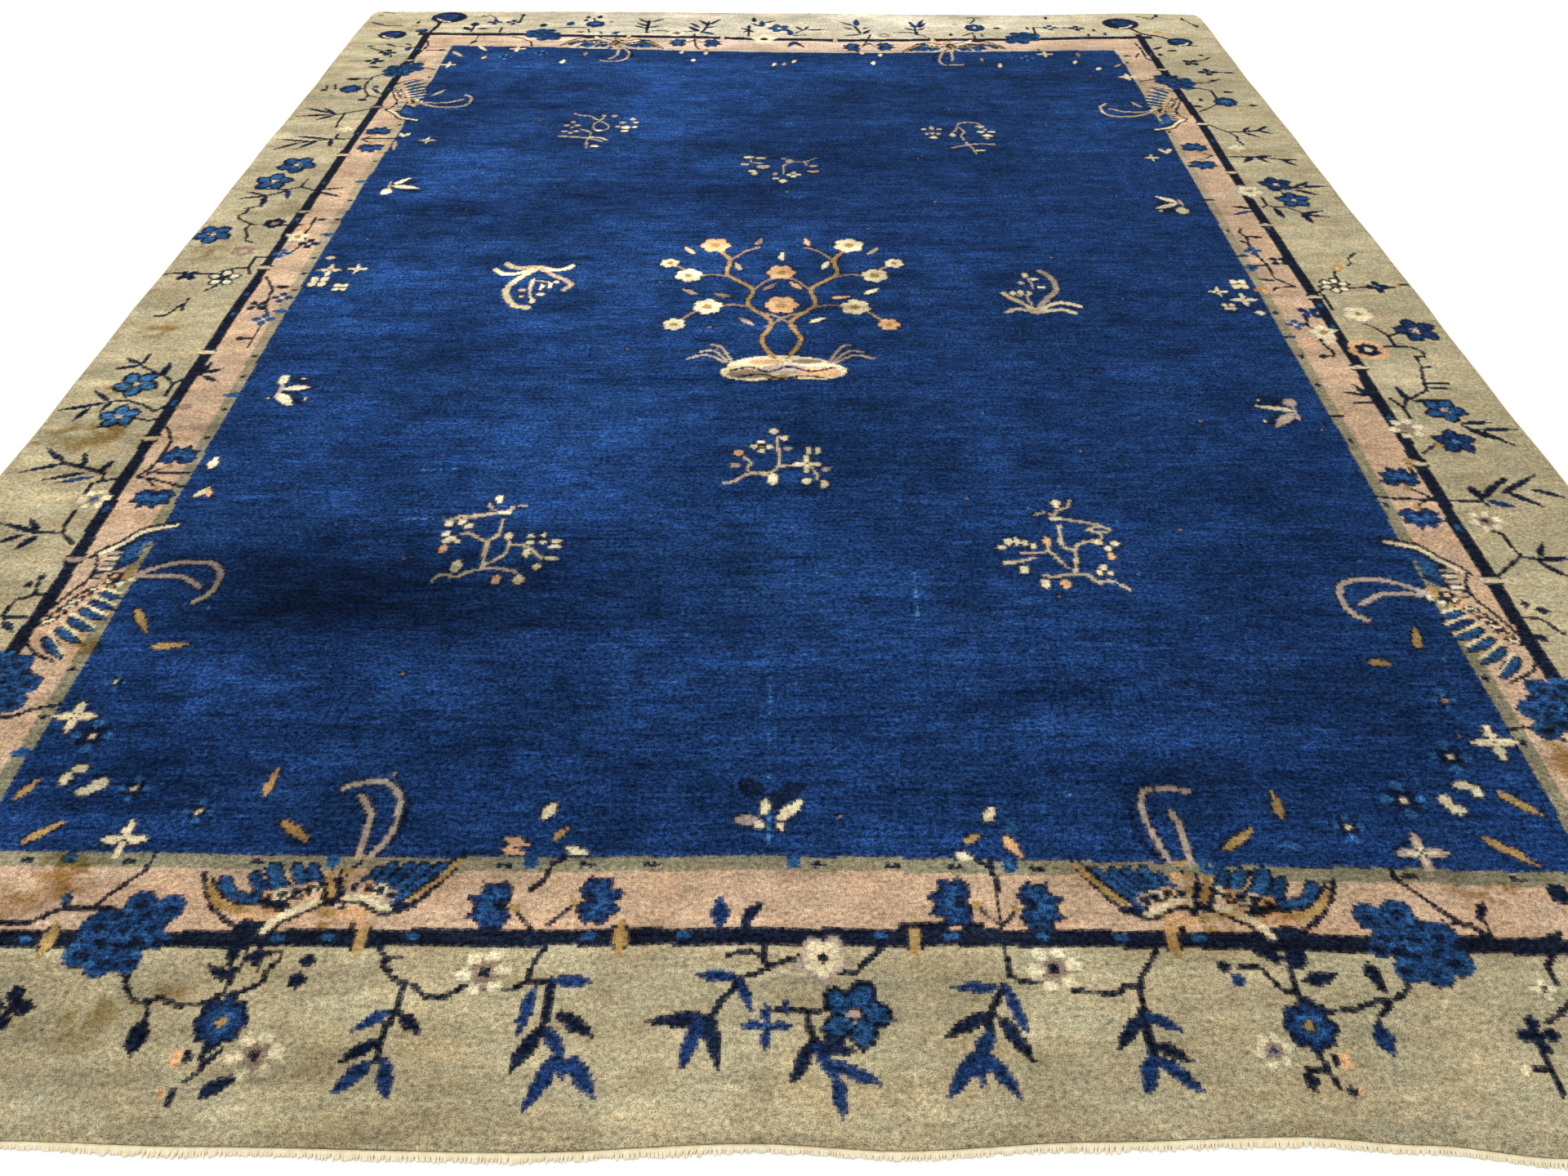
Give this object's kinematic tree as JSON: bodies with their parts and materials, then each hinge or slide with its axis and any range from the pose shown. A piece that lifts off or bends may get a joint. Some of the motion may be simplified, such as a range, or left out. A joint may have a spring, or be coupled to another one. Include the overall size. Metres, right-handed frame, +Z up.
{
  "type": "chinese art deco rug",
  "caption": "Flat hand-knotted wool rug, a dark blue field inside a wide flowered border, with a short cut cotton fringe at its ends and an overcast cord down its sides.",
  "frame": {"origin": "on the floor, under the middle of the rug", "axes": "+X across the width to the right as seen from the near end, +Y along the length to the far end, +Z up through the pile"},
  "size_m": [2.745, 3.709, 0.01],
  "materials": {
    "wool_pile": "sheared wool pile, matt with a soft sheen, dyed in blues, khaki, rose beige, cream and ochre",
    "cotton_warp": "undyed twisted cotton, matt, yellowed with age",
    "side_cord": "overcast yarn, matt, pale tan"
  },
  "bodies": {
    "root": {"rug": "wool_pile", "fringe_near": "cotton_warp", "fringe_far": "cotton_warp", "selvedge_left": "side_cord", "selvedge_right": "side_cord"}
  },
  "joints": []
}
